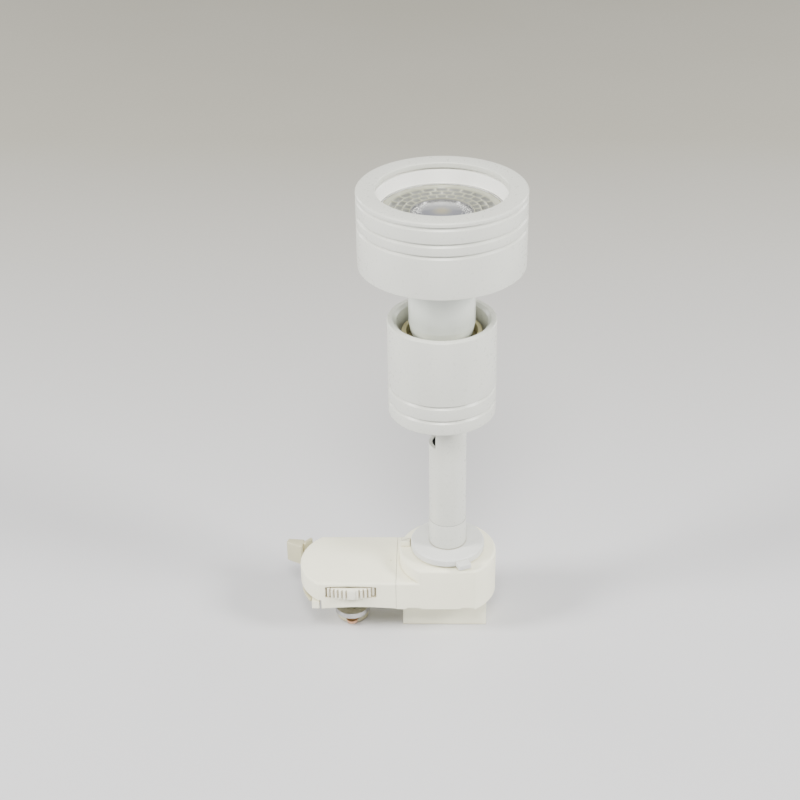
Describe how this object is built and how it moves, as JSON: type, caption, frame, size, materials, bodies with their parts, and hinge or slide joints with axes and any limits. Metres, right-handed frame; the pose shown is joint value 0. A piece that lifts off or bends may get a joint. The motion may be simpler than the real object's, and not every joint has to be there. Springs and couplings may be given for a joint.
{
  "type": "track spotlight",
  "caption": "Spotlight for a 3-circuit track: ringed GU10 lamp in a cup that tilts on a swivelling stem, with a track adapter.",
  "frame": {"origin": "on the stem's swivel axis, in the plane where the adapter's housing seats on the track", "axes": "+Z along the stem away from the track, +X along the track away from the locking lever, +Y towards the adapter's back"},
  "size_m": [0.1065, 0.0686, 0.2115],
  "materials": {
    "housing_plastic": "satin",
    "selector_plastic": "satin",
    "disc_plastic": "satin",
    "white_coat": "satin",
    "holder_ceramic": "matte",
    "neck_plastic": "gloss",
    "lens_plastic": "gloss",
    "led_phosphor": "matte",
    "board": "satin",
    "bare_aluminium": "satin",
    "steel": "satin",
    "copper": "satin",
    "brass": "satin",
    "wire_brown": "satin",
    "wire_blue": "satin",
    "wire_earth": "satin",
    "cable_sheath": "satin"
  },
  "bodies": {
    "adapter": {"adapter_housing": "housing_plastic", "adapter_cover": "housing_plastic", "selector_plate": "housing_plastic", "track_insert": "housing_plastic", "neutral_contact": "copper", "earth_contact_back": "steel", "earth_contact_front": "steel", "terminal_block": "selector_plastic", "terminal_screw_1": "brass", "terminal_screw_2": "brass", "terminal_screw_3": "brass", "cover_screw_front": "steel", "cover_screw_back": "steel", "housing_screw_front": "steel", "housing_screw_back": "steel", "wire_live": "wire_brown", "wire_neutral": "wire_blue", "wire_earth": "wire_earth"},
    "selector": {"selector_wheel": "selector_plastic", "selector_rotor": "selector_plastic", "phase_contact": "copper", "selector_screw": "steel"},
    "lever": {"locking_lever": "selector_plastic", "lock_cam": "steel"},
    "stem": {"swivel_disc": "disc_plastic", "stem_base": "white_coat", "stem_tube": "white_coat", "threaded_nipple": "steel", "nipple_nut": "steel", "spring_washer": "steel", "flat_washer": "steel", "pivot_fork": "steel", "pivot_pin": "steel", "stem_cable": "cable_sheath"},
    "head": {"tilt_arm": "steel", "arm_nut": "steel", "cup": "white_coat", "holder_bracket": "steel", "lampholder": "holder_ceramic", "holder_contact_left": "copper", "holder_contact_right": "copper", "bracket_screw_left": "steel", "bracket_screw_right": "steel", "holder_wire_live": "wire_brown", "holder_wire_neutral": "wire_blue"},
    "lamp": {"ring_body": "white_coat", "front_bezel": "white_coat", "baffle_sleeve": "white_coat", "lamp_lens": "lens_plastic", "lamp_heat_sink": "bare_aluminium", "lamp_neck": "neck_plastic", "pin_cap": "neck_plastic", "led_board": "bare_aluminium", "led_chip": "led_phosphor", "driver_board": "board", "lamp_pin_left": "brass", "lamp_pin_right": "brass"}
  },
  "joints": [
    {"name": "swivel", "type": "hinge", "parent": "adapter", "child": "stem", "pos_m": [0, 0, 0.0257], "axis": [0, 0, 1], "range_deg": [-102, 224]},
    {"name": "head_tilt", "type": "hinge", "parent": "stem", "child": "head", "pos_m": [0, 0, 0.082], "axis": [0, -1, 0], "range_deg": [0, 90]},
    {"name": "lamp_twist", "type": "hinge", "parent": "head", "child": "lamp", "pos_m": [-0.0024, 0, 0.1275], "axis": [0, 0, 1], "range_deg": [0, 25]},
    {"name": "phase_selector", "type": "hinge", "parent": "adapter", "child": "selector", "pos_m": [-0.0436, 0, 0.009], "axis": [0, 0, 1], "range_deg": [0, 90]},
    {"name": "locking_lever", "type": "hinge", "parent": "adapter", "child": "lever", "pos_m": [-0.0436, 0, 0.002], "axis": [0, 0, 1], "range_deg": [-90, 0]}
  ]
}
